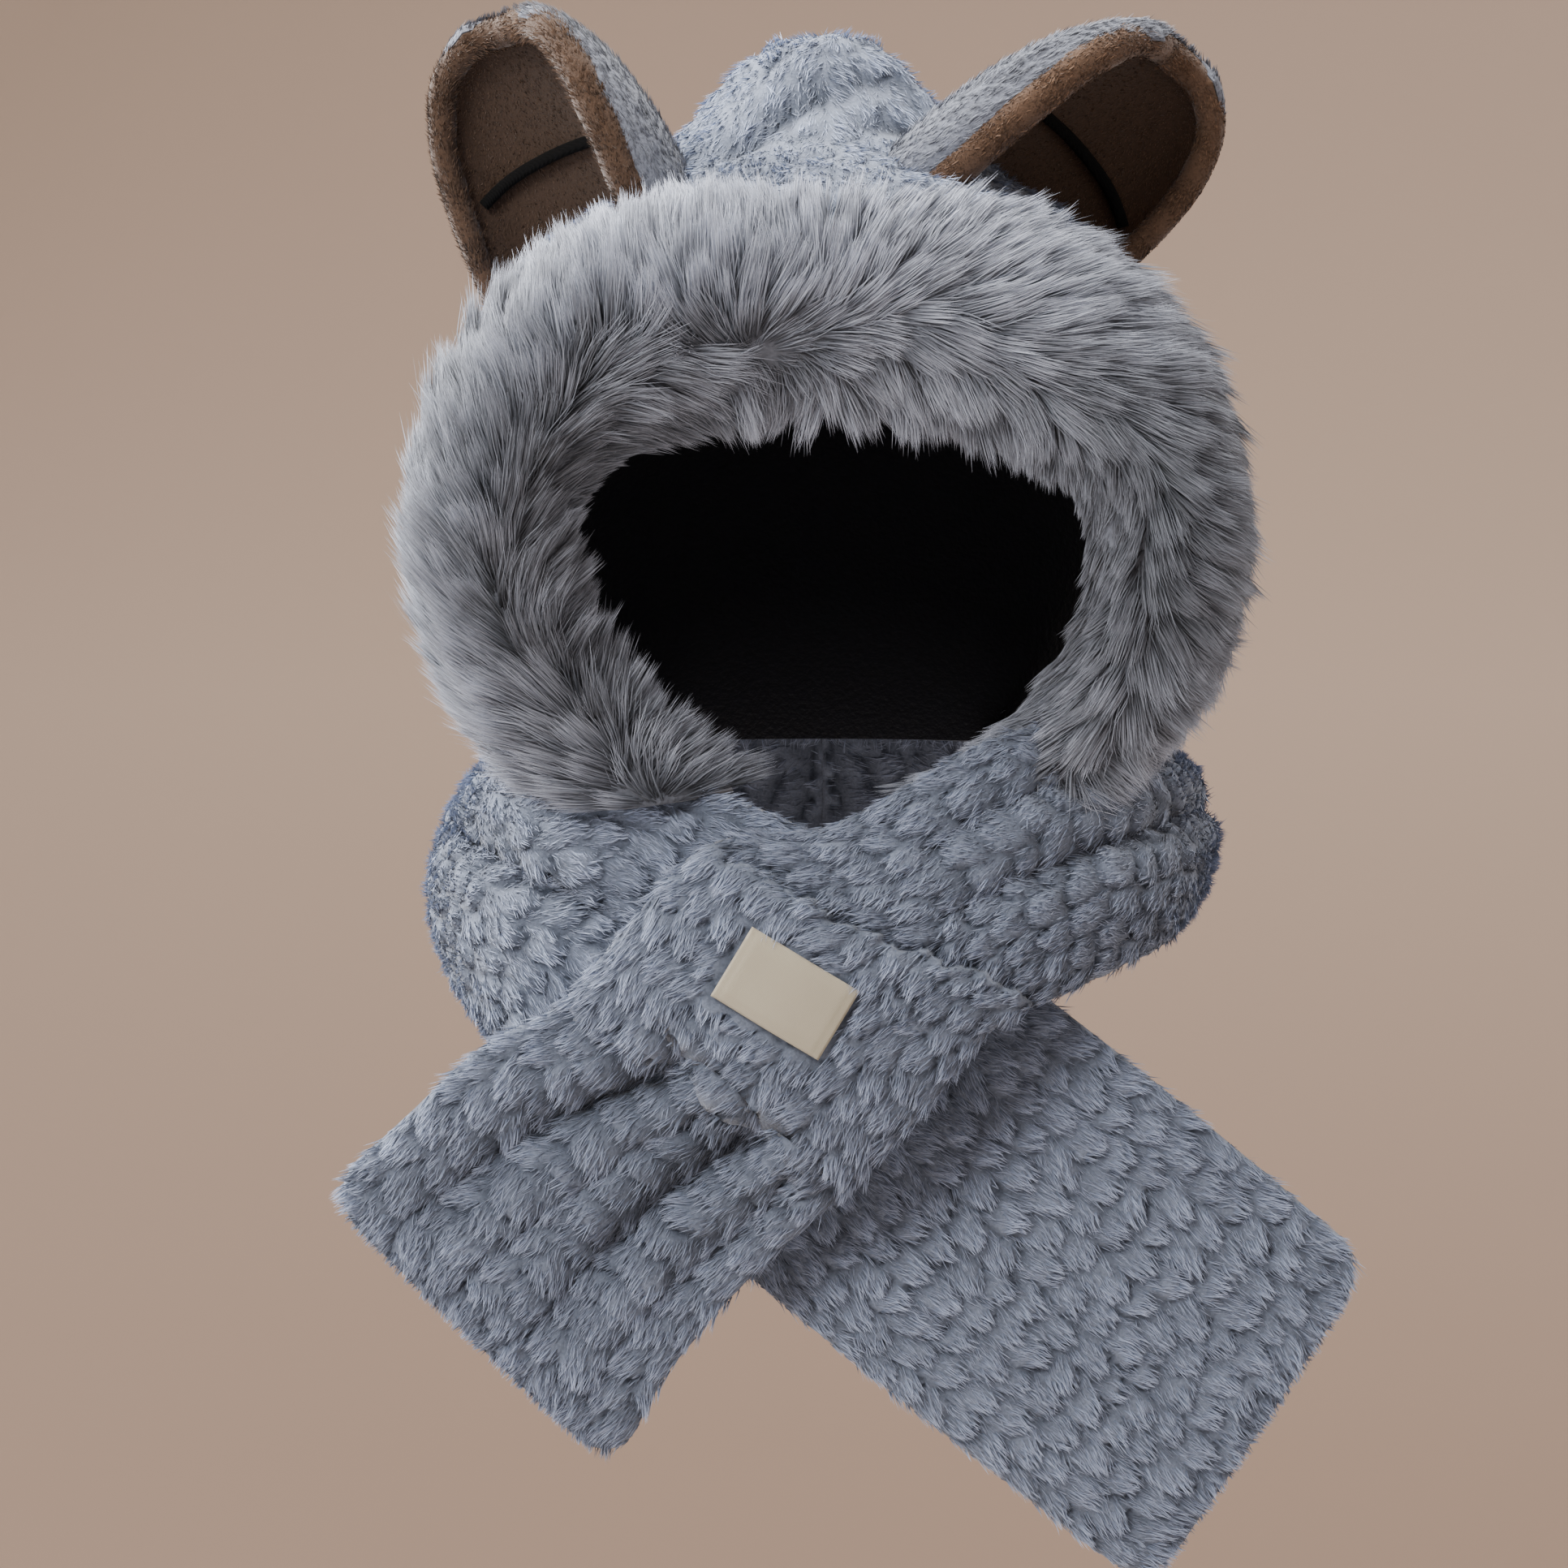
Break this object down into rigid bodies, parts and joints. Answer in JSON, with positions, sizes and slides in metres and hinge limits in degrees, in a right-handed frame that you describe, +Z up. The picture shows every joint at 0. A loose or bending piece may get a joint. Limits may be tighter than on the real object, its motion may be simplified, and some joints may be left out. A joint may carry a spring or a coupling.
{
  "type": "hooded scarf",
  "caption": "Padded plush hood with cupped cat ears and a long-pile trim round the face, sewn to a wide scarf whose ends cross at the chest.",
  "frame": {"origin": "the highest point inside the lined crown, where a head or a stand carries the hood", "axes": "+Z up, the face opening looks along -Y, +X to the right of someone who faces it"},
  "size_m": [0.3836, 0.3212, 0.594],
  "materials": {
    "plush": "short quilted plush",
    "fur": "long-pile plush",
    "ear_lining": "velour",
    "cord": "round cord",
    "lining": "fleece",
    "label": "woven tape"
  },
  "bodies": {
    "root": {"hood_shell": "plush", "hood_lining": "lining", "fur_trim_left": "fur", "fur_trim_right": "fur", "ear_left_plush": "plush", "ear_left_lining": "ear_lining", "ear_left_cord": "cord", "ear_right_plush": "plush", "ear_right_lining": "ear_lining", "ear_right_cord": "cord", "scarf_left": "plush", "scarf_right": "plush", "slit_back": "plush", "label": "label"}
  },
  "joints": []
}
